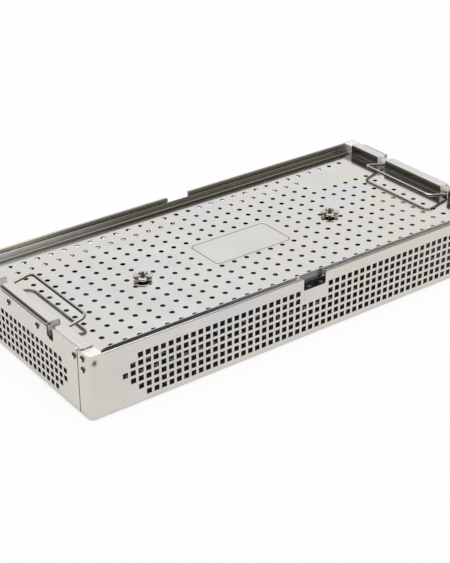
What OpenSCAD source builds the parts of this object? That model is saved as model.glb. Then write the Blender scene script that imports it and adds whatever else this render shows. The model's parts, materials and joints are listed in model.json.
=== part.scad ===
// Perforated steel instrument tray with a sunk perforated lid, two lobed lid
// knobs and two wire bails. Sizes in millimetres, +Z up, front towards -Y.
// The origin is at the middle of the tray's footprint, on the table.

/* [Tray] */

// Overall length over the end panels
base_l = 590; // [540:1:660]
// Overall width over the long walls
base_w = 268; // [240:1:300]
// Height of the long walls
wall_h = 75; // [70:0.1:90]
// Sheet thickness of every panel
sheet_t = 1.2; // [0.8:0.1:1.5]
// Outer radius of the vertical corner bends
bend_r = 5; // [3:0.5:6]
// Length of the wall's return on the tray's end
return_l = 21; // [18:0.5:26]
// Open seam between a return and the end panel
seam_gap = 0.9; // [0.3:0.1:1.5]
// Room between the two leaves of the rim's hem
hem_gap = 0.5; // [0.3:0.1:1]
// Depth of the rim's hem below the rim
hem_d = 5.5; // [4:0.1:8]
// Room between the end of the hem and a corner post
hem_end_gap = 0.5; // [0.3:0.1:2]
// Width of the notch in the middle of a long wall's rim
notch_w = 31.5; // [20:0.5:40]
// Depth of the notch in the middle of a long wall's rim
notch_d = 15.9; // [10:0.1:20]
// Corner radius of the rim's notch
notch_r = 1.5; // [1:0.5:4]
// Corner radius of the rim beside its notch
rim_r = 3; // [1:0.5:5]

/* [Square perforation] */

// Spacing of the square holes from centre to centre
pitch = 9.525; // [8.5:0.005:11]
// Side of a square hole
hole_w = 6.35; // [4:0.05:7]
// Depth of the long wall's top row below its rim
wall_row_drop = 17.6; // [17:0.1:24]
// Least distance from the table to a wall row's middle
wall_row_low = 9; // [7:0.1:12]
// Least distance from the tray's end to the widest wall row
wall_row_margin = 36; // [32:0.5:60]
// Number of the widest row, counted down from 0 at the top
wide_row = 2; // [1:1:3]
// Depth of the end panel's top row below the wall's rim
end_row_drop = 28.6; // [26:0.1:36]
// Least distance from the table to an end row's middle
end_row_low = 8; // [7:0.1:12]
// Least distance from the long wall to the widest end row
end_row_margin = 46; // [40:0.5:70]
// Spacing of the floor's holes
floor_pitch = 19.05; // [12:0.05:30]
// Plain border of the floor
floor_border = 24; // [18:1:40]

/* [Ends] */

// Height of the rail tops above the long wall's rim
rail_rise = 2.5; // [1.5:0.1:4]
// Width of a rail, from its inner lip to the end panel
rail_w = 15.8; // [13:0.1:20]
// Outer bend radius of a rail
rail_bend_r = 4; // [2.5:0.5:5]
// Outer bend radius between a rail's top and its inner lip
rail_lip_r = 2.2; // [1.5:0.1:2.5]
// Half length of the middle rail
rail_mid_half = 51; // [40:0.5:60]
// Gap between the middle rail and an end rail, for the bail's leg
rail_gap = 12.8; // [10:0.2:18]
// Depth of a rail's outer leg
rail_leg_d = 23.5; // [16:0.5:26]
// Depth of a rail's inner lip
rail_lip_d = 13.3; // [8:0.1:14]
// Depth of the plate that closes a side rail beside the bail's leg
rail_plate_d = 21.5; // [16:0.5:23]
// Plan corner radius of the rails
rail_corner_r = 5; // [2:0.5:6]
// Height of the end panel behind the middle rail, below the rail's top
panel_mid_drop = 4.5; // [4:0.1:8]
// Height of the end panel beside the posts, below the rail's top
panel_side_drop = 1; // [0.5:0.1:3]
// Room between a rail's end and the side of the panel's notch
panel_notch_side = 0.6; // [0.3:0.1:1]
// Depth of the panel's notch below the rail's top
panel_notch_d = 16.9; // [15:0.1:18]
// Bottom corner radius of the panel's notch
panel_notch_r = 3; // [1:0.5:5]
// Length of a corner post along the tray's width
post_w = 16.1; // [12:0.1:20]

/* [Rivets] */

// Radius of a rivet's head
rivet_head_r = 3.4; // [2.5:0.1:4]
// Height of a rivet's head
rivet_head_h = 2.6; // [1:0.1:3.2]
// Radius of a rivet's shank
rivet_shank_r = 1.6; // [1.2:0.1:2]
// Radius of the set end inside the tray
rivet_tail_r = 2.5; // [2.2:0.1:3]
// Thickness of the set end inside the tray
rivet_tail_t = 1; // [0.6:0.1:1.4]
// Room round a rivet's shank
rivet_clear = 0.1; // [0.05:0.01:0.2]
// Depth of the rail rivets below the rail's top
rivet_drop = 12.5; // [11:0.1:13.5]
// Distance of the middle rivets from the tray's middle
rivet_mid_y = 31; // [20:0.5:38]
// Distance of a side rivet from its rail's end at the post
rivet_side_in = 11; // [8:0.5:20]
// Distance of the post rivets from the long wall
rivet_post_in = 11.9; // [9:0.1:13]
// Depth of the upper post rivet below the long wall's rim
rivet_post_drop = 6; // [5:0.1:9]
// Spacing of the two post rivets
rivet_post_step = 13; // [10:0.5:20]

/* [Lid] */

// Depth of the lid's top below the long wall's rim
lid_sink = 11.4; // [10:0.1:15]
// Gap between the lid's end and a rail's inner lip
lid_end_gap = 1.2; // [0.6:0.1:3]
// Gap between the lid's flange and the long wall
lid_side_gap = 6.2; // [5:0.1:9]
// Height of the lid's front flange, from the lid's underside
flange_front_h = 12.9; // [8:0.1:16]
// Height of the lid's back flange, from the lid's underside
flange_back_h = 8.8; // [6:0.1:14]
// Corner radius of the lid's flanges
flange_r = 8; // [2:0.5:8.5]
// Inner bend radius of the lid
lid_bend_r = 1.2; // [0.8:0.1:3]
// Radius of a round hole in the lid
vent_r = 3.1; // [1.6:0.1:3.5]
// Spacing of the lid's holes along its length
vent_pitch_x = 17.76; // [14:0.02:22]
// Spacing of the lid's holes across its width
vent_pitch_y = 17.76; // [14:0.02:22]
// Offset of the hole pattern along the lid
vent_shift_x = -4.1; // [-6:0.1:6]
// Offset of the hole pattern across the lid
vent_shift_y = -2.2; // [-4:0.1:4]
// Plain border at the lid's ends
vent_margin_x = 22; // [18:0.5:40]
// Plain border at the lid's sides
vent_margin_y = 15; // [12:0.5:30]
// Room between the lid's underside and its rests
seat_gap = 0.2; // [0.1:0.05:0.4]

/* [Lid rests] */

// Length of a lid rest
rest_l = 60; // [30:1:90]
// Reach of a lid rest from the long wall
rest_reach = 14; // [9:0.5:20]
// Distance of a lid rest's middle from the tray's end
rest_in = 95; // [60:1:160]
// Room between a lid rest's upright leaf and the hem above it
rest_leaf_gap = 1; // [0.5:0.1:3]

/* [Knobs] */

// Distance of the left knob from the tray's middle
knob_left_x = 147.5; // [120:0.5:180]
// Distance of the right knob from the tray's middle
knob_right_x = 129; // [110:0.5:180]
// Distance of the knobs in front of the tray's middle
knob_y = 10; // [6:0.5:13]
// Radius over the knob's lobes
knob_r = 11.1; // [9:0.1:12.5]
// Height of the knob's head above its foot's underside
knob_waist_h = 2.2; // [1.6:0.1:5]
// Thickness of the knob's lobed head
knob_head_h = 2.8; // [2.4:0.1:6]
// Rounding of the head's rim
knob_edge_r = 1.1; // [0.6:0.1:1.2]
// Radius of the knob's foot
knob_foot_r = 6; // [5:0.1:7]
// Thickness of the knob's foot
knob_foot_h = 0.8; // [0.5:0.1:1.4]
// Radius of the knob's neck
knob_neck_r = 4.6; // [3.5:0.1:5]
// Radius of the bowl in the head's top
knob_bowl_r = 6.4; // [5:0.1:7]
// Depth of the bowl in the head's top
knob_bowl_d = 1.6; // [0.8:0.1:2]
// Count of the knob's lobes
knob_lobes = 4; // [3:1:6]
// Angle of the first valley between two lobes
knob_turn = 8; // [0:1:90]
// Radius of the bay that parts two lobes
knob_bay_r = 4; // [2:0.1:5]
// Reach of a bay into the knob's head
knob_bay_d = 2.8; // [1.5:0.1:3.5]
// Radius of the valley from a bay to the bowl
knob_valley_r = 1.8; // [1.2:0.1:2.2]
// Depth of the valley from a bay to the bowl
knob_valley_d = 1.3; // [0.6:0.1:1.6]
// Radius of the knob's stud
stud_r = 2; // [1.5:0.1:3]
// Height of the stud's end above the knob's head
stud_out = 3.4; // [0.5:0.1:4]
// Radial running clearance of the stud in the lid
stud_clear = 0.08; // [0.04:0.01:0.1]
// Room between the knob or its collar and the lid
knob_gap = 0.2; // [0.1:0.05:0.4]
// Radius of the collar under the lid
collar_r = 6; // [4.5:0.1:8]
// Thickness of the collar under the lid
collar_t = 3; // [2:0.1:5]
// Offset along the lid of the plain spot beside each knob
spot_dx = 21; // [15:0.5:25]
// Offset across the lid of the plain spot beside each knob
spot_dy = 24; // [18:0.5:30]
// Radius of the plain spot beside each knob
spot_r = 6; // [4:0.5:8]

/* [Bails] */

// Radius of the bail's wire
wire_r = 1.9; // [1.2:0.1:2]
// Distance from the bail's pivot to its grip
bail_reach = 40.2; // [30:0.1:50]
// Angle of the resting bail above the lid
bail_rest_deg = 12; // [11:0.5:20]
// Room between a bail's leg and a side rail
leg_room = 2.6; // [1.5:0.1:4]
// Bend radius at the bail's grip
bail_bend_r = 8; // [5:0.5:12]
// Bend radius at the bail's pivot end
bail_end_r = 4; // [3:0.5:4]
// Depth of the pivot below the rail's top
pivot_drop = 11.5; // [10:0.1:12]
// Distance of the pivot from the end panel's outer face
pivot_in = 5.4; // [4.5:0.1:7]
// Radial running clearance of the wire in its ears
pivot_clear = 0.08; // [0.04:0.01:0.1]
// Thickness of a pivot ear
ear_t = 1.5; // [1:0.1:2]
// Depth of a pivot ear below the rail's top
ear_d = 16.5; // [14:0.1:18]
// Wire standing out past the ear, inside the rail
wire_past = 1; // [0.5:0.1:3]

/* [Hidden] */

$fn = 48;

half_l = base_l / 2;
half_w = base_w / 2;
in_l = half_l - sheet_t;
in_w = half_w - sheet_t;
// Room that a piece's plan corner keeps from the inside of a wall's bend
corner_room = 0.4;
corner_r = bend_r - sheet_t + corner_room;
hem_r = sheet_t + hem_gap / 2;
// Extra reach of every cutting tool
cut = 1;

// Square holes in the long wall
wall_top_z = wall_h - wall_row_drop;
wall_rows = floor((wall_top_z - wall_row_low) / pitch + 0.15) + 1;
wall_cols = 2 * floor((half_l - wall_row_margin) / pitch);

// Square holes in the end panel
end_top_z = wall_h - end_row_drop;
end_rows = floor((end_top_z - end_row_low) / pitch + 0.05) + 1;
end_cols = 2 * floor((half_w - end_row_margin) / pitch) + 1;

// Rails
rail_top = wall_h + rail_rise;
rail_x0 = in_l - rail_w;
rail_side_y0 = rail_mid_half + rail_gap;
post_y0 = in_w - post_w;
hem_half_l = rail_x0 - hem_end_gap;
panel_half_w = half_w - return_l - seam_gap;
panel_notch_y0 = rail_mid_half + panel_notch_side;
panel_notch_y1 = rail_side_y0 + panel_notch_side;
rivet_z = rail_top - rivet_drop;
rivet_side_y = post_y0 - rivet_side_in;
rivet_post_y = half_w - rivet_post_in;
rivet_post_z = wall_h - rivet_post_drop;
rivet_grip = 2 * sheet_t;

// Lid
lid_top = wall_h - lid_sink;
lid_under = lid_top - sheet_t;
lid_half_l = rail_x0 - lid_end_gap;
lid_half_w = in_w - lid_side_gap;
lid_out_r = lid_bend_r + sheet_t;
vent_nx = floor((lid_half_l - vent_margin_x - abs(vent_shift_x)) / vent_pitch_x);
vent_ny = floor((lid_half_w - vent_margin_y - abs(vent_shift_y)) / vent_pitch_y);
rest_top = lid_under - seat_gap;
rest_x = half_l - rest_in;
rest_leaf_top = wall_h - hem_d - rest_leaf_gap;

// Plain fields of the lid, counted in holes from the pattern's middle
label_nx = 3;
label_ny = 1;
plate_x0 = vent_nx - 4;
plate_y0 = 4;
plate_y1 = 5;

// Knobs
knob_base = lid_top + knob_gap;
knob_top = knob_base + knob_waist_h + knob_head_h;
stud_hole_r = stud_r + stud_clear;
stud_fit = 0.05;
// Narrowing of the stud's end
stud_step = 0.4;
collar_top = lid_under - knob_gap;

// Bails
pivot_x = half_l - pivot_in;
pivot_z = rail_top - pivot_drop;
ear_out = rail_mid_half;
ear_in = rail_mid_half - ear_t;
wire_end_y = ear_in - wire_past;
leg_y = rail_side_y0 - leg_room - wire_r;
grip_half = leg_y - bail_bend_r;
pivot_half = leg_y - bail_end_r;

steel = [0.78, 0.77, 0.75];
dark_steel = [0.62, 0.61, 0.59];
bright_steel = [0.86, 0.86, 0.85];

// A square with one rounded corner, at the far end of both axes
module one_round(w, h, r) {
    union() {
        square([w, h - r]);
        square([w - r, h]);
        translate([w - r, h - r]) circle(r);
    }
}

// What is left of a square outside its rounded corner at [0, 0]
module corner_bite(r) {
    difference() {
        translate([-cut, -cut]) square([r + cut, r + cut]);
        translate([r, r]) circle(r);
    }
}

// Puts a shape at +X as it is and mirrors it for the other sides
module side_x(s) {
    if (s > 0) children();
    else mirror([1, 0, 0]) children();
}

module side_y(s) {
    if (s > 0) children();
    else mirror([0, 1, 0]) children();
}

// Floor between the walls
module floor_panel() {
    nx = floor((in_l - floor_border) / floor_pitch - 0.5);
    ny = floor((in_w - floor_border) / floor_pitch - 0.5);
    color(steel)
    linear_extrude(sheet_t)
    difference() {
        union() {
            square([2 * in_l, 2 * (in_w - corner_r)], center = true);
            square([2 * (in_l - corner_r), 2 * in_w], center = true);
            for (sx = [-1, 1], sy = [-1, 1])
                translate([sx * (in_l - corner_r), sy * (in_w - corner_r)])
                    circle(corner_r);
        }
        for (i = [-nx - 1 : nx], j = [-ny - 1 : ny])
            translate([(i + 0.5) * floor_pitch, (j + 0.5) * floor_pitch])
                square(hole_w, center = true);
    }
}

// Plan of a long wall with its two returns, for the +Y side
module wall_plan() {
    union() {
        translate([-(half_l - bend_r), in_w])
            square([2 * (half_l - bend_r), sheet_t]);
        for (s = [-1, 1]) {
            translate([s > 0 ? in_l : -half_l, half_w - return_l])
                square([sheet_t, return_l - bend_r]);
            intersection() {
                translate([s * (half_l - bend_r), half_w - bend_r])
                    difference() {
                        circle(bend_r);
                        circle(bend_r - sheet_t);
                    }
                translate([s > 0 ? half_l - bend_r : -half_l, half_w - bend_r])
                    square([bend_r, bend_r]);
            }
        }
    }
}

// Outline of the rim's notch, seen along Y
module notch_outline() {
    union() {
        translate([-notch_w / 2, wall_h - notch_d + notch_r])
            square([notch_w, notch_d + cut]);
        translate([-notch_w / 2 + notch_r, wall_h - notch_d])
            square([notch_w - 2 * notch_r, notch_d + cut]);
        for (s = [-1, 1])
            translate([s * (notch_w / 2 - notch_r), wall_h - notch_d + notch_r])
                circle(notch_r);
        for (s = [-1, 1])
            translate([s * notch_w / 2, wall_h])
                mirror([s > 0 ? 0 : 1, 0])
                mirror([0, 1])
                corner_bite(rim_r);
    }
}

// Rows of square holes in a long wall, leaving out those under the notch
module wall_holes() {
    for (r = [0 : wall_rows - 1]) {
        cols = wall_cols - 2 * abs(r - wide_row);
        z = wall_top_z - r * pitch;
        under = z + hole_w / 2 > wall_h - notch_d - pitch;
        skip = under ? notch_w / 2 + hole_w / 4 : 0;
        for (c = [0 : cols - 1]) {
            x = (c - (cols - 1) / 2) * pitch;
            if (abs(x) > skip)
                translate([x, z]) square(hole_w, center = true);
        }
    }
}

// Section of the rim's hem, folded inwards: the first axis is Y, the second Z
module hem_section() {
    mid_y = in_w - hem_gap / 2;
    ring_z = wall_h - hem_r;
    difference() {
        union() {
            translate([mid_y, ring_z]) circle(hem_r);
            translate([mid_y - hem_r, wall_h - hem_d]) square([2 * hem_r, hem_d - hem_r]);
        }
        translate([mid_y, ring_z]) circle(hem_gap / 2);
        translate([mid_y - hem_gap / 2, wall_h - hem_d - cut])
            square([hem_gap, hem_d - hem_r + cut]);
    }
}

module long_wall(s) {
    color(steel)
    side_y(s)
    difference() {
        union() {
            difference() {
                linear_extrude(wall_h) wall_plan();
                translate([-hem_half_l, in_w - cut, wall_h - hem_r])
                    cube([2 * hem_half_l, sheet_t + 2 * cut, hem_r + cut]);
            }
            translate([-hem_half_l, 0, 0])
                rotate([90, 0, 90])
                linear_extrude(2 * hem_half_l)
                hem_section();
        }
        translate([0, half_w + cut, 0])
            rotate([90, 0, 0])
            linear_extrude(sheet_t + 2 * cut)
            wall_holes();
        translate([0, half_w + cut, 0])
            rotate([90, 0, 0])
            linear_extrude(2 * hem_r + 2 * cut)
            notch_outline();
        for (t = [-1, 1], k = [0, 1])
            translate([t * half_l, rivet_post_y, rivet_post_z - k * rivet_post_step])
                rotate([0, 90, 0])
                cylinder(r = rivet_shank_r + rivet_clear, h = 4 * sheet_t, center = true);
    }
}

module front_wall() {
    long_wall(-1);
}

module back_wall() {
    long_wall(1);
}

// Outline of an end panel, seen along X: the first axis is Y, the second Z
module panel_outline() {
    mid_z = rail_top - panel_mid_drop;
    side_z = rail_top - panel_side_drop;
    notch_z = rail_top - panel_notch_d;
    difference() {
        union() {
            translate([-panel_half_w, 0]) square([2 * panel_half_w, mid_z]);
            for (s = [-1, 1])
                mirror([s > 0 ? 0 : 1, 0])
                translate([panel_notch_y1, 0])
                one_round(panel_half_w - panel_notch_y1, side_z, 4);
        }
        for (s = [-1, 1])
            mirror([s > 0 ? 0 : 1, 0])
            union() {
                translate([panel_notch_y0, notch_z + panel_notch_r])
                    square([panel_notch_y1 - panel_notch_y0, panel_notch_d]);
                translate([panel_notch_y0 + panel_notch_r, notch_z])
                    square([panel_notch_y1 - panel_notch_y0 - 2 * panel_notch_r,
                            panel_notch_d]);
                for (y = [panel_notch_y0 + panel_notch_r, panel_notch_y1 - panel_notch_r])
                    translate([y, notch_z + panel_notch_r]) circle(panel_notch_r);
            }
    }
}

module panel_holes() {
    for (r = [0 : end_rows - 1]) {
        off = max(0, abs(r - 1.5) - 0.5);
        cols = end_cols - 2 * off;
        for (c = [0 : cols - 1])
            translate([(c - (cols - 1) / 2) * pitch, end_top_z - r * pitch])
                square(hole_w, center = true);
    }
}

module end_panel(s) {
    color(steel)
    side_x(s)
    translate([in_l, 0, 0])
        rotate([90, 0, 90])
        linear_extrude(sheet_t)
        difference() {
            panel_outline();
            panel_holes();
            for (t = [-1, 1], y = [rivet_mid_y, rivet_side_y])
                translate([t * y, rivet_z]) circle(rivet_shank_r + rivet_clear);
        }
}

module left_end_panel() {
    end_panel(-1);
}

module right_end_panel() {
    end_panel(1);
}

// Section of a rail seen along Y: the first axis is X, the second Z
module rail_section() {
    leg_z = rail_top - rail_leg_d;
    lip_z = rail_top - rail_lip_d;
    difference() {
        union() {
            translate([rail_x0, lip_z])
                square([rail_w - rail_bend_r, rail_lip_d - rail_lip_r]);
            translate([rail_x0 + rail_lip_r, lip_z])
                square([rail_w - rail_lip_r - rail_bend_r, rail_lip_d]);
            translate([rail_x0 + rail_lip_r, rail_top - rail_lip_r])
                circle(rail_lip_r);
            translate([in_l - rail_bend_r, leg_z])
                square([rail_bend_r, rail_leg_d - rail_bend_r]);
            translate([in_l - rail_bend_r, rail_top - rail_bend_r])
                circle(rail_bend_r);
        }
        translate([rail_x0 + rail_lip_r, leg_z - cut])
            square([rail_w - rail_lip_r - rail_bend_r, rail_leg_d - sheet_t + cut]);
        translate([rail_x0 + sheet_t, leg_z - cut])
            square([rail_lip_r, rail_leg_d - rail_lip_r + cut]);
        translate([rail_x0 + rail_lip_r, rail_top - rail_lip_r])
            circle(rail_lip_r - sheet_t);
        translate([rail_x0 + sheet_t, leg_z - cut])
            square([rail_w - 2 * sheet_t, rail_leg_d - rail_bend_r + cut]);
        translate([in_l - rail_bend_r, rail_top - rail_bend_r])
            circle(rail_bend_r - sheet_t);
    }
}

// A plate that fills a rail's end down to a depth d, set into the sheet by o
module rail_filling(d, o) {
    translate([rail_x0, rail_top - d])
        union() {
            translate([rail_lip_r, 0])
                square([rail_w - rail_lip_r - rail_corner_r, d - sheet_t + o]);
            translate([sheet_t - o, 0])
                square([rail_lip_r, d - rail_lip_r]);
            translate([sheet_t - o, 0])
                square([rail_w - 2 * sheet_t + 2 * o, d - rail_bend_r]);
            if (o > 0)
                translate([rail_lip_r, d - rail_lip_r])
                    circle(rail_lip_r - sheet_t + o);
        }
}

// A rail from y0 to y1, with rounded plan corners where asked
module rail(y0, y1, round0, round1) {
    cap_z = rail_top - rail_bend_r;
    difference() {
        translate([0, y1, 0])
            rotate([90, 0, 0])
            linear_extrude(y1 - y0)
            rail_section();
        if (round0)
            translate([in_l, y0, cap_z])
                mirror([1, 0, 0])
                linear_extrude(rail_bend_r + cut)
                corner_bite(rail_corner_r);
        if (round1)
            translate([in_l, y1, cap_z])
                mirror([1, 0, 0])
                mirror([0, 1, 0])
                linear_extrude(rail_bend_r + cut)
                corner_bite(rail_corner_r);
        for (y = [-rivet_mid_y, rivet_mid_y, rivet_side_y])
            if (y > y0 && y < y1)
                translate([in_l, y, rivet_z])
                    rotate([0, 90, 0])
                    cylinder(r = rivet_shank_r + rivet_clear, h = 4 * sheet_t, center = true);
    }
}

module rail_middle(s) {
    color(bright_steel)
    side_x(s)
        rail(-rail_mid_half, rail_mid_half, true, true);
}

// An end rail with the plate that closes it beside the bail's leg
module rail_side(sx, sy) {
    color(bright_steel)
    side_x(sx)
    side_y(sy)
    union() {
        rail(rail_side_y0, post_y0, true, true);
        translate([0, rail_side_y0 + sheet_t, 0])
            rotate([90, 0, 0])
            linear_extrude(sheet_t)
            rail_filling(rail_plate_d, sheet_t / 2);
    }
}

module left_rail_front() {
    rail_side(-1, -1);
}

module left_rail_middle() {
    rail_middle(-1);
}

module left_rail_back() {
    rail_side(-1, 1);
}

module right_rail_front() {
    rail_side(1, -1);
}

module right_rail_middle() {
    rail_middle(1);
}

module right_rail_back() {
    rail_side(1, 1);
}

// A folded corner post with its top closed
module corner_post(sx, sy) {
    color(bright_steel)
    side_x(sx)
    side_y(sy)
    translate([rail_x0, post_y0, sheet_t])
    difference() {
        linear_extrude(wall_h - sheet_t) one_round(rail_w, post_w, corner_r);
        translate([sheet_t, sheet_t, -cut])
            linear_extrude(wall_h - 2 * sheet_t + cut)
            one_round(rail_w - 2 * sheet_t, post_w - 2 * sheet_t, corner_r - sheet_t);
        for (k = [0, 1])
            translate([rail_w, rivet_post_y - post_y0,
                       rivet_post_z - k * rivet_post_step - sheet_t])
                rotate([0, 90, 0])
                cylinder(r = rivet_shank_r + rivet_clear, h = 4 * sheet_t, center = true);
    }
}

module corner_post_front_left() {
    corner_post(-1, -1);
}

module corner_post_front_right() {
    corner_post(1, -1);
}

module corner_post_back_left() {
    corner_post(-1, 1);
}

module corner_post_back_right() {
    corner_post(1, 1);
}

// An ear inside the middle rail's end that holds the bail's wire
module pivot_ear(sx, sy) {
    color(dark_steel)
    side_x(sx)
    side_y(sy)
    translate([0, ear_out, 0])
    rotate([90, 0, 0])
    linear_extrude(ear_t)
    difference() {
        rail_filling(ear_d, 0);
        translate([pivot_x, pivot_z]) circle(wire_r + pivot_clear);
    }
}

module pivot_ear_left_front() {
    pivot_ear(-1, -1);
}

module pivot_ear_left_back() {
    pivot_ear(-1, 1);
}

module pivot_ear_right_front() {
    pivot_ear(1, -1);
}

module pivot_ear_right_back() {
    pivot_ear(1, 1);
}

// An angle on the long wall that carries the lid's edge
module lid_rest(sx, sy) {
    color(dark_steel)
    side_x(sx)
    side_y(sy)
    translate([rest_x - rest_l / 2, in_w - rest_reach, rest_top - sheet_t])
    union() {
        cube([rest_l, rest_reach, sheet_t]);
        translate([0, rest_reach - sheet_t, 0])
            cube([rest_l, sheet_t, rest_leaf_top - rest_top + sheet_t]);
    }
}

module lid_rest_front_left() {
    lid_rest(-1, -1);
}

module lid_rest_front_right() {
    lid_rest(1, -1);
}

module lid_rest_back_left() {
    lid_rest(-1, 1);
}

module lid_rest_back_right() {
    lid_rest(1, 1);
}

// One domed rivet through two sheets, its axis along +X from the outer face
module rivet() {
    dome_r = (rivet_head_r * rivet_head_r + rivet_head_h * rivet_head_h)
        / (2 * rivet_head_h);
    rotate([0, 90, 0])
    union() {
        intersection() {
            translate([0, 0, rivet_head_h - dome_r]) sphere(dome_r);
            cylinder(r = rivet_head_r + cut, h = rivet_head_h + cut);
        }
        translate([0, 0, -rivet_grip]) cylinder(r = rivet_shank_r, h = rivet_grip + 0.2);
        translate([0, 0, -rivet_grip - rivet_tail_t])
            cylinder(r = rivet_tail_r, h = rivet_tail_t);
    }
}

module end_rivets(s) {
    color(bright_steel)
    side_x(s)
    for (t = [-1, 1]) {
        for (y = [rivet_mid_y, rivet_side_y])
            translate([half_l, t * y, rivet_z]) rivet();
        for (k = [0, 1])
            translate([half_l, t * rivet_post_y, rivet_post_z - k * rivet_post_step])
                rivet();
    }
}

module left_end_rivets() {
    end_rivets(-1);
}

module right_end_rivets() {
    end_rivets(1);
}

// Section of the lid across its width: the first axis is Y, the second Z
module lid_section() {
    difference() {
        union() {
            translate([-lid_half_w + lid_out_r, 0])
                square([2 * (lid_half_w - lid_out_r), flange_front_h]);
            for (s = [-1, 1])
                translate([s * (lid_half_w - lid_out_r), lid_out_r]) circle(lid_out_r);
            translate([-lid_half_w, lid_out_r])
                square([lid_out_r + cut, flange_front_h - lid_out_r]);
            translate([lid_half_w - lid_out_r - cut, lid_out_r])
                square([lid_out_r + cut, flange_back_h - lid_out_r]);
        }
        translate([-lid_half_w + lid_out_r, sheet_t])
            square([2 * (lid_half_w - lid_out_r), flange_front_h]);
        translate([-lid_half_w + sheet_t, lid_out_r])
            square([2 * (lid_half_w - sheet_t), flange_front_h]);
        for (s = [-1, 1])
            translate([s * (lid_half_w - lid_out_r), lid_out_r]) circle(lid_bend_r);
        translate([0, flange_back_h])
            square([lid_half_w + cut, flange_front_h]);
    }
}

// True where a knob at [x, -knob_y] leaves room for a hole
function knob_clear(i, j, x) =
    let (p = [i * vent_pitch_x + vent_shift_x - x, j * vent_pitch_y + vent_shift_y + knob_y])
    norm(p) > knob_foot_r + vent_r && norm(p - [spot_dx, spot_dy]) > spot_r;

// True where the lid carries a hole
function vent_open(i, j) =
    !(abs(i) <= label_nx && abs(j) <= label_ny)
    && !(i >= plate_x0 && j >= plate_y0 && j <= plate_y1)
    && knob_clear(i, j, -knob_left_x)
    && knob_clear(i, j, knob_right_x);

module lid_panel() {
    color(bright_steel)
    difference() {
        translate([-lid_half_l, 0, lid_under])
            rotate([90, 0, 90])
            linear_extrude(2 * lid_half_l)
            lid_section();
        translate([0, 0, lid_under - cut])
            linear_extrude(sheet_t + 2 * cut)
            union() {
                for (i = [-vent_nx : vent_nx], j = [-vent_ny : vent_ny])
                    if (vent_open(i, j))
                        translate([i * vent_pitch_x + vent_shift_x,
                                   j * vent_pitch_y + vent_shift_y])
                            circle(vent_r);
                translate([-knob_left_x, -knob_y]) circle(stud_hole_r);
                translate([knob_right_x, -knob_y]) circle(stud_hole_r);
            }
        for (s = [-1, 1]) {
            translate([s * lid_half_l, 0, lid_under + flange_front_h])
                rotate([90, 0, 0])
                linear_extrude(half_w)
                mirror([s > 0 ? 1 : 0, 0])
                mirror([0, 1])
                corner_bite(flange_r);
            translate([s * lid_half_l, half_w, lid_under + flange_back_h])
                rotate([90, 0, 0])
                linear_extrude(half_w)
                mirror([s > 0 ? 1 : 0, 0])
                mirror([0, 1])
                corner_bite(min(flange_r, flange_back_h - lid_out_r - 1));
        }
    }
}

// Half section of a knob, turned about its axis
module knob_section() {
    top_z = knob_waist_h + knob_head_h;
    bowl_r = (knob_bowl_r * knob_bowl_r + knob_bowl_d * knob_bowl_d) / (2 * knob_bowl_d);
    difference() {
        union() {
            square([knob_foot_r, knob_foot_h]);
            square([knob_neck_r, top_z]);
            translate([0, knob_waist_h + knob_edge_r])
                square([knob_r, knob_head_h - 2 * knob_edge_r]);
            translate([0, knob_waist_h]) square([knob_r - knob_edge_r, knob_head_h]);
            for (z = [knob_waist_h + knob_edge_r, top_z - knob_edge_r])
                translate([knob_r - knob_edge_r, z]) circle(knob_edge_r);
        }
        intersection() {
            translate([0, top_z - knob_bowl_d + bowl_r]) circle(bowl_r, $fn = 96);
            translate([0, top_z - knob_bowl_d - cut])
                square([knob_r, knob_bowl_d + 2 * cut]);
        }
    }
}

module knob(x) {
    top_z = knob_waist_h + knob_head_h;
    color(bright_steel)
    translate([x, -knob_y, knob_base])
    rotate([0, 0, knob_turn])
    difference() {
        rotate_extrude() knob_section();
        for (k = [0 : knob_lobes - 1])
            rotate([0, 0, k * 360 / knob_lobes]) {
                translate([knob_r + knob_bay_r - knob_bay_d, 0, knob_foot_h + 0.2])
                    cylinder(r = knob_bay_r, h = top_z);
                translate([stud_r + 1, 0, top_z + knob_valley_r - knob_valley_d])
                    rotate([0, 90, 0])
                    cylinder(r = knob_valley_r, h = knob_r);
            }
        translate([0, 0, -cut])
            cylinder(r = stud_r + stud_fit, h = top_z + 2 * cut);
    }
}

module knob_left() {
    knob(-knob_left_x);
}

module knob_right() {
    knob(knob_right_x);
}

// The stud reaches from the collar's underside through the knob
module knob_stud(x) {
    low = collar_top - collar_t;
    tall = knob_top + stud_out - low;
    color(dark_steel)
    translate([x, -knob_y, low])
    union() {
        cylinder(r = stud_r, h = tall - stud_step);
        cylinder(r = stud_r - stud_step, h = tall);
    }
}

module knob_stud_left() {
    knob_stud(-knob_left_x);
}

module knob_stud_right() {
    knob_stud(knob_right_x);
}

module knob_collar(x) {
    color(dark_steel)
    translate([x, -knob_y, collar_top - collar_t])
    difference() {
        cylinder(r = collar_r, h = collar_t);
        translate([0, 0, -cut])
            cylinder(r = stud_r + stud_fit, h = collar_t + 2 * cut);
    }
}

module knob_collar_left() {
    knob_collar(-knob_left_x);
}

module knob_collar_right() {
    knob_collar(knob_right_x);
}

// Half of a bail lying flat: the pivot runs along Y, the grip lies at -X
module bail_half() {
    union() {
        rotate([-90, 0, 0])
            translate([0, 0, wire_end_y])
            cylinder(r = wire_r, h = pivot_half - wire_end_y);
        translate([-bail_end_r, pivot_half, 0])
            rotate_extrude(angle = 90)
            translate([bail_end_r, 0])
            circle(wire_r);
        translate([-bail_end_r, leg_y, 0])
            rotate([0, -90, 0])
            cylinder(r = wire_r, h = bail_reach - bail_end_r - bail_bend_r);
        translate([-bail_reach + bail_bend_r, grip_half, 0])
            rotate([0, 0, 90])
            rotate_extrude(angle = 90)
            translate([bail_bend_r, 0])
            circle(wire_r);
    }
}

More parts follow.
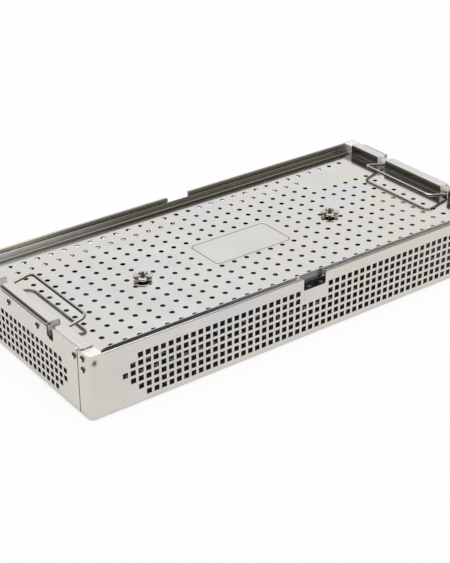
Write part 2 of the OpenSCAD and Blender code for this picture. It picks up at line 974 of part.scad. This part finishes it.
module bail(s) {
    color(bright_steel)
    side_x(s)
    translate([pivot_x, 0, pivot_z])
    rotate([0, bail_rest_deg, 0])
    union() {
        bail_half();
        mirror([0, 1, 0]) bail_half();
        translate([-bail_reach, -grip_half, 0])
            rotate([-90, 0, 0])
            cylinder(r = wire_r, h = 2 * grip_half);
    }
}

module bail_left() {
    bail(-1);
}

module bail_right() {
    bail(1);
}

floor_panel();
front_wall();
back_wall();
left_end_panel();
right_end_panel();
left_rail_front();
left_rail_middle();
left_rail_back();
right_rail_front();
right_rail_middle();
right_rail_back();
corner_post_front_left();
corner_post_front_right();
corner_post_back_left();
corner_post_back_right();
pivot_ear_left_front();
pivot_ear_left_back();
pivot_ear_right_front();
pivot_ear_right_back();
lid_rest_front_left();
lid_rest_front_right();
lid_rest_back_left();
lid_rest_back_right();
left_end_rivets();
right_end_rivets();
lid_panel();
knob_left();
knob_right();
knob_stud_left();
knob_stud_right();
knob_collar_left();
knob_collar_right();
bail_left();
bail_right();
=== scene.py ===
"""Perforated steel instrument tray: steel finishes, engraved outline, light and camera."""
import json
import math
from functools import reduce

import bpy
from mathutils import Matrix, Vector


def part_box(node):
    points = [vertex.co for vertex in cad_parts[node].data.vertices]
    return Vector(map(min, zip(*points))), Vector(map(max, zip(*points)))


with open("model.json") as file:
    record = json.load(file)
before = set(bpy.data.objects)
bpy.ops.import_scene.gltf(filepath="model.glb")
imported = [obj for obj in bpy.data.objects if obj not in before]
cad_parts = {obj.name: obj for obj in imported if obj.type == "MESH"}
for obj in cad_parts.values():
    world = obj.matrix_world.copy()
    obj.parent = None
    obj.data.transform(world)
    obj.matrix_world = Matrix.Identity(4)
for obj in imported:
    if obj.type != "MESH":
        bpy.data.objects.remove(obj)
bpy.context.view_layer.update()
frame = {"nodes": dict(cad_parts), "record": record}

MM = 0.001

# The tray's main faces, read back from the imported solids
SHEET = 1.2 * MM
BEND = 5.0 * MM
WALL_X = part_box("front_wall")[1][0]
WALL_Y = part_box("back_wall")[1][1]
INNER_X = WALL_X - SHEET
INNER_Y = WALL_Y - SHEET
LID_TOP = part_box("lid_panel")[0][2] + SHEET

# Where the shell's colour changes: painted light and shade at the hem, rim, end faces and
# rivets, and the seams and the spot weld
HEM_LEAF_Y = (129.5 * MM, 132.8 * MM)
HEM_LEAF_Z = 68.5 * MM
HEM_SLIT_Z = 70.2 * MM
FRONT_FACE_Y = -130.0 * MM
RIM_Z = 72.5 * MM
END_FACE_X = 294.5 * MM
END_SEAM_X = 290.0 * MM
END_SEAM_Y = 112.6 * MM
RIVETS_YZ_MM = ((31.0, 65.0), (105.7, 65.0), (122.1, 69.0), (122.1, 56.0))
RIVET_RADIUS = 3.4 * MM
WELD_XZ = (-288.0 * MM, 66.8 * MM)
WELD_HALF = (3.6 * MM, 4.2 * MM)

# Where the lid's colour changes: painted light and shade on its two flanges and at the notch
# before it, and the outlined field
FRONT_FLANGE_Y = -125.8 * MM
BACK_FLANGE_Y = 123.5 * MM
BACK_BAND_Y = 120.3 * MM
NOTCH_EDGE_X = (15.5 * MM, 17.5 * MM)
NOTCH_SHADE_Z = 68.3 * MM
FIELD_CENTRE = (-5.0 * MM, -5.0 * MM)
FIELD_HALF = (54.5 * MM, 27.5 * MM)
FIELD_CORNER = 6.0 * MM

# Where the rails' painted light and shade change: the outer bend, the inner lip and the closing
# plates
RAIL_BEND_X = 290.5 * MM
RAIL_BEND_Z = 74.1 * MM
RAIL_MIDDLE_Y = 52.5 * MM
RAIL_LIP_X = 278.7 * MM
RAIL_LIP_Z = 76.6 * MM
RAIL_SIDE_X = 290.0 * MM
RAIL_SIDE_Y = 60.0 * MM
PLATE_Y = (63.2 * MM, 65.4 * MM)
PLATE_Z = 76.8 * MM

# The knobs' places and the turn of their petals
KNOB_LEFT_X = -147.5 * MM
KNOB_RIGHT_X = 129.0 * MM
KNOB_Y = -10.0 * MM
KNOB_TURN = math.radians(8.0)
KNOB_RIM_RADIUS = 9.7 * MM

# Waves per metre of the brushed grain, across the lines and along them
GRAIN_ACROSS = 2600.0
GRAIN_ALONG = 30.0

# Share of plain white in what is seen of the floor, away from the tray and under it
FLOOR_WHITE = 0.9
UNDER_WHITE = 0.08


class Sig:
    """A shader socket that adds, multiplies and compares like a number."""

    def __init__(self, graph, socket):
        self.graph = graph
        self.socket = socket

    def __add__(self, o): return self.graph.math("ADD", self, o)
    def __radd__(self, o): return self.graph.math("ADD", self, o)
    def __sub__(self, o): return self.graph.math("SUBTRACT", self, o)
    def __rsub__(self, o): return self.graph.math("SUBTRACT", o, self)
    def __mul__(self, o): return self.graph.math("MULTIPLY", self, o)
    def __rmul__(self, o): return self.graph.math("MULTIPLY", self, o)
    def __truediv__(self, o): return self.graph.math("DIVIDE", self, o)
    def __rtruediv__(self, o): return self.graph.math("DIVIDE", o, self)
    def __abs__(self): return self.graph.math("ABSOLUTE", self)
    def min(self, o): return self.graph.math("MINIMUM", self, o)
    def max(self, o): return self.graph.math("MAXIMUM", self, o)
    def sqrt(self): return self.graph.math("SQRT", self)

    def step(self, low, high):
        """0 below low, 1 above high, smooth between."""
        return self.graph.node("MapRange", interpolation_type="SMOOTHSTEP", ins={
            "Value": self, "From Min": low, "From Max": high})

    def over(self, edge, soft):
        """0 up to the edge, and 1 from a soft width past it."""
        return (self - edge).step(0.0, soft)

    def under(self, edge, soft):
        """1 up to a soft width before the edge, and 0 from the edge on."""
        return (edge - self).step(0.0, soft)


class Graph:
    """The nodes of one material or of the world."""

    def __init__(self, tree):
        self.tree = tree
        tree.nodes.clear()

    def node(self, kind, out=0, ins=None, **settings):
        """Adds a node with its settings, then the values or links of its sockets."""
        new = self.tree.nodes.new("ShaderNode" + kind)
        for name, value in settings.items():
            setattr(new, name, value)
        for key, value in (ins or {}).items():
            socket = new.inputs[key]
            if isinstance(value, Sig):
                self.tree.links.new(value.socket, socket)
            else:
                socket.default_value = (*value, 1.0) if socket.type == "RGBA" else value
        return Sig(self, new.outputs[out]) if new.outputs else None

    def math(self, kind, *args):
        return self.node("Math", ins=dict(enumerate(args)), operation=kind)

    def place(self):
        return self.node("TexCoord", out="Object")

    def xyz(self, vec=None):
        parts = self.node("SeparateXYZ", ins={0: vec or self.place()}).socket.node
        return [Sig(self, part) for part in parts.outputs]

    def vec(self, x, y, z):
        return self.node("CombineXYZ", ins={0: x, 1: y, 2: z})

    def noise(self, vec, scale, detail, rough=0.5):
        return self.node("TexNoise", ins={
            "Vector": vec, "Scale": scale, "Detail": detail, "Roughness": rough})

    def mix(self, share, a, b):
        """Blends two colours, given as tuples or sockets."""
        return self.node("Mix", out=2, data_type="RGBA", ins={0: share, 6: a, 7: b})


def material(name):
    """A new material and its empty graph."""
    new = bpy.data.materials.new(name)
    new.use_nodes = True
    return new, Graph(new.node_tree)


def distance(a, b):
    """The length of a slanted line that spans a and b."""
    return (a * a + b * b).sqrt()


def rounded_rect(x, y, centre, half, r):
    """Distance from a rounded rectangle's outline, negative inside."""
    qx = abs(x - centre[0]) - (half[0] - r)
    qy = abs(y - centre[1]) - (half[1] - r)
    return distance(qx.max(0.0), qy.max(0.0)) + qx.max(qy).min(0.0) - r


def steel(name, colour, rough, along="x", brush=0.10, smudge=0.06, shade=None, metal=1.0):
    """Stainless sheet: brushed grain, hand smudges, a faint warm and cold drift."""
    mat, g = material(name)
    place = g.place()
    x, y, z = g.xyz()
    grain = {axis: GRAIN_ALONG if axis == along else GRAIN_ACROSS for axis in "xyz"}
    lines = g.noise(g.vec(x * grain["x"], y * grain["y"], z * grain["z"]), 1.0, 3.0, 0.6)
    cloud = g.noise(place, 22.0, 3.0, 0.55)
    spots = g.noise(place, 140.0, 4.0, 0.6)
    warm_drift = g.noise(place, 7.0, 1.0).step(0.35, 0.65)
    cool_drift = g.noise(place, 12.0, 1.0).step(0.52, 0.72)
    dark = tuple(c * 0.95 for c in colour)
    light = tuple(min(1.0, c * 1.05) for c in colour)
    warm = (colour[0] * 1.03, colour[1] * 0.99, colour[2] * 0.935)
    cool = (colour[0] * 0.975, colour[1] * 0.985, colour[2] * 1.02)
    scratch = tuple(c * 0.78 for c in colour)
    base = g.mix(cloud.step(0.3, 0.7), dark, light)
    base = g.mix(warm_drift, base, warm)
    base = g.mix(cool_drift, base, cool)
    base = g.mix(lines.step(0.35, 0.75) * (brush * 1.2), base, scratch)
    if shade:
        base = shade(g, base)
    dull = rough + (cloud - 0.5) * smudge + (spots - 0.5) * smudge * 0.8 + (lines - 0.5) * brush
    sheet = g.node("BsdfPrincipled", ins={
        "Base Color": base,
        "Metallic": metal(g) if callable(metal) else metal,
        "Roughness": dull.max(0.03),
        "Normal": g.node("Bump", ins={"Height": lines, "Strength": 0.02, "Distance": 0.2 * MM})})
    g.node("OutputMaterial", ins={0: sheet})
    return mat


def inside_shade(g, base):
    """Painted shade: under the lid, the inner faces of the tray are painted darker than the
    outer ones.
    """
    x, y, z = g.xyz()
    wall = rounded_rect(x, y, (0.0, 0.0), (INNER_X, INNER_Y), BEND - SHEET)
    inner = wall.under(0.4 * MM, 0.3 * MM) * z.under(LID_TOP - 0.8 * MM, 0.8 * MM)
    return g.mix(inner, base, (0.13, 0.118, 0.105))


def hem_leaf(g):
    """1 on the inner leaf of the back rim's hem, where it faces the lid."""
    x, y, z = g.xyz()
    return y.over(HEM_LEAF_Y[0], 0.5 * MM) * y.under(HEM_LEAF_Y[1], 0.5 * MM)


def shell_shade(g, base):
    """Painted shade inside, painted reflection and shadow on the back hem, a painted dark
    reflection on the front rim, painted shadow rings round the rivets, dark end seams and a
    straw-coloured spot weld.
    """
    x, y, z = g.xyz()
    base = inside_shade(g, base)
    # Painted reflection on the back hem's inner leaf, light at the left end and brownish to the
    # right, with a painted shadow strip along its lower edge
    leaf = g.mix(x.step(-300.0 * MM, -120.0 * MM), (0.98, 0.90, 0.75), (0.40, 0.37, 0.315))
    leaf = g.mix(z.under(HEM_SLIT_Z, 0.6 * MM), leaf, (0.03, 0.028, 0.025))
    base = g.mix(hem_leaf(g) * z.over(HEM_LEAF_Z, 0.5 * MM), base, leaf)
    front = y.under(FRONT_FACE_Y, 1.0 * MM)
    # Painted dark reflection on the front rim's rounding, strongest at the right and fading out
    # towards the left
    rim = z.over(RIM_Z, 2.0 * MM) * front * x.step(-240.0 * MM, -50.0 * MM)
    base = g.mix(rim * 0.6, base, (0.26, 0.25, 0.24))
    # Painted shadow rings round the rivet heads on the end panels
    rivets = [abs(distance(abs(y) - at_y * MM, z - at_z * MM) - RIVET_RADIUS)
              for at_y, at_z in RIVETS_YZ_MM]
    rivet_shadow = 1.0 - reduce(Sig.min, rivets).step(0.3 * MM, 0.8 * MM)
    rivet_shadow = rivet_shadow * abs(x).over(END_FACE_X, 0.3 * MM)
    base = g.mix(rivet_shadow * 0.8, base, (0.10, 0.095, 0.09))
    seam = 1.0 - abs(abs(y) - END_SEAM_Y).step(0.4 * MM, 1.1 * MM)
    base = g.mix(seam * abs(x).over(END_SEAM_X, 2.0 * MM), base, (0.06, 0.055, 0.05))
    weld = distance((x - WELD_XZ[0]) / WELD_HALF[0], (z - WELD_XZ[1]) / WELD_HALF[1])
    halo = (1.0 - weld.step(0.5, 1.5)) * front
    spot = (1.0 - weld.step(0.1, 1.0)) * front
    base = g.mix(halo * 0.7, base, (0.46, 0.36, 0.24))
    return g.mix(spot * 0.95, base, (0.09, 0.055, 0.035))


def shell_metal(g):
    return 1.0 - hem_leaf(g) * 0.5


def front_flange(g):
    """1 on the outer face of the lid's front flange."""
    x, y, z = g.xyz()
    return y.under(FRONT_FLANGE_Y, 0.6 * MM) * z.over(LID_TOP, 0.8 * MM)


def back_flange(g):
    """1 on the lid's back flange."""
    x, y, z = g.xyz()
    return y.over(BACK_FLANGE_Y, 0.8 * MM) * z.over(LID_TOP, 0.6 * MM)


def lid_shade(g, base):
    """A bare field in a fine engraved outline, painted light and shade on the flanges and
    painted shade on the sides of the holes.
    """
    x, y, z = g.xyz()
    outline = abs(rounded_rect(x, y, FIELD_CENTRE, FIELD_HALF, FIELD_CORNER))
    line = (1.0 - outline.step(0.3 * MM, 0.8 * MM)) * z.over(LID_TOP - 0.3 * MM, 0.1 * MM)
    base = g.mix(line * 0.95, base, (0.05, 0.05, 0.05))
    # Painted reflection on the back flange, light at the left and dark to the right, and a
    # painted brownish shade along its foot
    painted_light = g.mix(x.step(-290.0 * MM, -50.0 * MM), (0.98, 0.99, 1.0), (0.25, 0.235, 0.2))
    base = g.mix(back_flange(g), base, painted_light)
    edge = y.over(BACK_FLANGE_Y, 0.8 * MM)
    base = g.mix(edge * z.under(LID_TOP + 1.3 * MM, 0.4 * MM), base, (0.36, 0.33, 0.27))
    # The dim, uneven band where the lid mirrors the back wall
    wave = g.noise(g.vec(x * 60.0, y * 25.0, 0.0), 1.0, 2.0) * (7.0 * MM)
    band = (y + wave).over(BACK_BAND_Y, 1.2 * MM) * z.under(LID_TOP + 0.3 * MM, 0.2 * MM)
    base = g.mix(band * (1.0 - edge), base, (0.30, 0.28, 0.245))
    # Painted shade on the sides of the holes, below the lid's top face
    holes = z.under(LID_TOP - 0.1 * MM, 0.2 * MM) * abs(y).under(BACK_FLANGE_Y, 1.0 * MM)
    base = g.mix(holes, base, (0.13, 0.12, 0.11))
    # Painted reflection and shade on the front flange's outer face: dark at the left, light to
    # the right, darker in front of the notch and darkest low down there
    face = g.mix(x.step(-200.0 * MM, 20.0 * MM), (0.24, 0.245, 0.26), (0.80, 0.79, 0.77))
    notch = 1.0 - abs(x).step(*NOTCH_EDGE_X)
    face = g.mix(notch, face, (0.21, 0.205, 0.2))
    face = g.mix(z.under(NOTCH_SHADE_Z, 0.6 * MM) * notch, face, (0.06, 0.057, 0.055))
    return g.mix(front_flange(g), base, face)


def lid_metal(g):
    return 1.0 - front_flange(g) * 0.6 - back_flange(g) * 0.45


def closing_plate(g):
    """1 on the plates that close the side rails beside the bails' legs."""
    x, y, z = g.xyz()
    near = abs(y).over(PLATE_Y[0], 0.3 * MM) * abs(y).under(PLATE_Y[1], 0.3 * MM)
    return near * z.under(PLATE_Z, 0.4 * MM)


def rail_shade(g, base):
    """Painted dark reflections on the middle rails' outer bends, painted shade on the inner lips
    and a painted highlight on the closing plates.
    """
    x, y, z = g.xyz()
    # Painted dark reflection on the middle rails' outer bends
    bend = abs(x).over(RAIL_BEND_X, 1.0 * MM) * z.over(RAIL_BEND_Z, 0.4 * MM)
    bend = bend * abs(y).under(RAIL_MIDDLE_Y, 1.0 * MM)
    base = g.mix(bend * 0.9, base, (0.26, 0.255, 0.25))
    # Painted shade on the inner lips: light low down, dark in the middle, brownish at the top
    lip = abs(x).under(RAIL_LIP_X, 0.5 * MM) * z.under(RAIL_LIP_Z, 1.2 * MM)
    painted_light = g.mix(z.over(65.5 * MM, 4.5 * MM), (0.52, 0.50, 0.46), (0.21, 0.19, 0.155))
    painted_light = g.mix(z.over(72.5 * MM, 3.0 * MM), painted_light, (0.40, 0.365, 0.30))
    base = g.mix(lip, base, painted_light)
    # Painted highlight: the closing plates are painted near white
    return g.mix(closing_plate(g), base, (0.95, 0.95, 0.94))


def rail_metal(g):
    x, y, z = g.xyz()
    side = abs(x).over(RAIL_SIDE_X, 1.0 * MM) * abs(y).over(RAIL_SIDE_Y, 1.0 * MM)
    return 1.0 - closing_plate(g).max(side) * 0.8


def wire_shade(g, base):
    """Painted shade: the wires stay bright only along the top and are painted dark round their
    sides and underside, more on the left bail.
    """
    up = g.xyz(g.node("NewGeometry", out="Normal"))[2]
    left = g.xyz()[0].step(0.1, -0.1)
    return g.mix((up - left * 0.25).step(0.3, 0.95), (0.20, 0.19, 0.18), base)


def knob_shade(g, base):
    """Painted shade and light: dark valleys between the petals, a dark band round the petals'
    outer edge with a light band below it, and dark lower parts near the lid.
    """
    x, y, z = g.xyz()
    off_x = x - KNOB_LEFT_X - x.step(-1.0 * MM, 1.0 * MM) * (KNOB_RIGHT_X - KNOB_LEFT_X)
    off_y = y - KNOB_Y
    height = z - LID_TOP
    across = abs(off_x * math.cos(KNOB_TURN) + off_y * math.sin(KNOB_TURN))
    along = abs(off_y * math.cos(KNOB_TURN) - off_x * math.sin(KNOB_TURN))
    valley = 1.0 - across.min(along).step(0.5 * MM, 2.4 * MM)
    radius = distance(off_x, off_y)
    rim = radius.over(KNOB_RIM_RADIUS, 1.0 * MM) * height.under(5.0 * MM, 0.4 * MM)
    base = g.mix(rim * 0.85, base, (0.10, 0.09, 0.08))
    base = g.mix(rim * height.under(4.0 * MM, 0.4 * MM), base, (0.95, 0.94, 0.92))
    base = g.mix(valley * 0.92, base, (0.06, 0.05, 0.04))
    return g.mix(height.under(2.6 * MM, 0.4 * MM) * 0.8, base, (0.15, 0.14, 0.13))


def rivet_shade(g, base):
    """Painted shade on the domed heads: dark round the edge, with a bright crown."""
    proud = abs(g.xyz()[0]) - WALL_X
    head = g.mix(proud.over(1.3 * MM, 1.0 * MM), (0.07, 0.065, 0.06), base)
    return g.mix(proud.step(-0.2 * MM, 0.1 * MM), base, head)


FINISHES = {
    # Painted shade: the tray's floor, which lies under the lid, is painted dark.
    "floor_steel": dict(colour=(0.13, 0.125, 0.12), rough=0.4),
    "shell_steel": dict(colour=(0.66, 0.64, 0.615), rough=0.30, shade=shell_shade,
                        metal=shell_metal),
    "rail_steel": dict(colour=(0.80, 0.805, 0.81), rough=0.24, along="y", shade=rail_shade,
                       metal=rail_metal),
    "post_steel": dict(colour=(0.93, 0.93, 0.925), rough=0.45, along="z", metal=0.45),
    "fitting_steel": dict(colour=(0.80, 0.79, 0.78), rough=0.4, metal=0.5),
    "rivet_steel": dict(colour=(0.76, 0.75, 0.74), rough=0.18, along="y", brush=0.04,
                        shade=rivet_shade),
    "lid_steel": dict(colour=(0.80, 0.80, 0.79), rough=0.13, brush=0.05, smudge=0.05,
                      shade=lid_shade, metal=lid_metal),
    "stud_steel": dict(colour=(0.16, 0.095, 0.08), rough=0.4, along="z"),
    "knob_steel": dict(colour=(0.66, 0.64, 0.59), rough=0.2, along="z", brush=0.03,
                       shade=knob_shade),
    "bail_steel": dict(colour=(0.70, 0.68, 0.62), rough=0.2, along="y", brush=0.04,
                       shade=wire_shade),
}
finishes = {name: steel(name, **finish) for name, finish in FINISHES.items()}
slot_of = {s["node"]: s["material_slot"] for s in frame["record"]["subparts"]}
for name, obj in frame["nodes"].items():
    for slot in obj.material_slots:
        slot.material = finishes[slot_of[name]]

# Floor: wide paper, plain white to the camera and in the steel, with the tray's shadow on it
bpy.ops.mesh.primitive_plane_add(size=14.0, location=(0, 0, 0))
floor = bpy.context.object
floor.name = "studio_floor"
paper, g = material("studio_paper")
to_camera = g.node("LightPath", out="Is Camera Ray")
seen = to_camera.max(g.node("LightPath", out="Is Glossy Ray"))
x, y, z = g.xyz()
footprint = (WALL_X, WALL_Y)
away = rounded_rect(x, y, (0.0, 0.0), footprint, BEND).step(-2.0 * MM, 4.0 * MM)
# The soft shadow on the paper just behind the tray, which shows through its holes
shadow = rounded_rect(x, y, (21.0 * MM, 28.0 * MM), footprint, 40.0 * MM)
shadow = shadow.min(rounded_rect(x, y, (51.0 * MM, 68.0 * MM), footprint, 40.0 * MM))
shadow = shadow.max(y - 190.0 * MM)
clear = 1.0 - (1.0 - shadow.step(-14.0 * MM, 16.0 * MM)) * to_camera
matt = g.node("BsdfPrincipled", ins={
    "Base Color": g.mix(clear, (0.3, 0.29, 0.28), (0.93, 0.93, 0.93)),
    "Roughness": 0.9, "Specular IOR Level": 0.0})
white = g.node("Emission", ins={"Color": (1.0, 1.0, 1.0), "Strength": 1.0})
share = UNDER_WHITE + away * clear * (FLOOR_WHITE - UNDER_WHITE)
g.node("OutputMaterial", ins={
    0: g.node("MixShader", ins={0: seen * share, 1: matt, 2: white})})
floor.data.materials.append(paper)

# World: a bright overhead tent and backdrop, dimmer round the sides, white to the camera
world = bpy.data.worlds.new("studio")
bpy.context.scene.world = world
world.use_nodes = True
g = Graph(world.node_tree)
x, y, z = g.xyz(g.node("TexCoord", out="Generated"))
flat = (x * x + y * y + 0.0001).sqrt()
tent = z.step(0.66, 0.80) * 1.12
backdrop = ((x * 0.6 + y * 0.8) / flat).step(0.45, 0.80) * 0.86
right_side = ((x * 0.8 - y * 0.6) / flat).step(0.2, 0.8) * 0.38
level = tent.max(backdrop).max(right_side).max(0.14)
to_camera = g.node("LightPath", out="Is Camera Ray")
g.node("OutputWorld", ins={0: g.node("Background", ins={
    "Color": (1.0, 0.995, 0.985), "Strength": level * (1.0 - to_camera) + to_camera})})


def stand(name, data, place, look):
    """Puts a lamp or the camera at a place, looking along a direction."""
    new = bpy.data.objects.new(name, data)
    bpy.context.scene.collection.objects.link(new)
    new.location = place
    new.rotation_euler = Vector(look).to_track_quat("-Z", "Y").to_euler()
    return new


# One broad lamp overhead
lamp = bpy.data.lights.new("overhead", "AREA")
lamp.shape = "RECTANGLE"
lamp.size, lamp.size_y = 2.6, 2.2
lamp.energy = 22.0
stand("overhead", lamp, (-0.3, -0.5, 2.2), (0.3, 0.5, -2.2))

# Camera at the photograph's place
lens = bpy.data.cameras.new("camera")
lens.lens = 83.34
lens.sensor_width = 36.0
lens.clip_start = 0.05
lens.clip_end = 50.0
bpy.context.scene.camera = stand(
    "camera", lens, (-0.8453, -1.0946, 0.7599), (0.52689, 0.70296, -0.47773))
bpy.context.scene.view_settings.view_transform = "Standard"
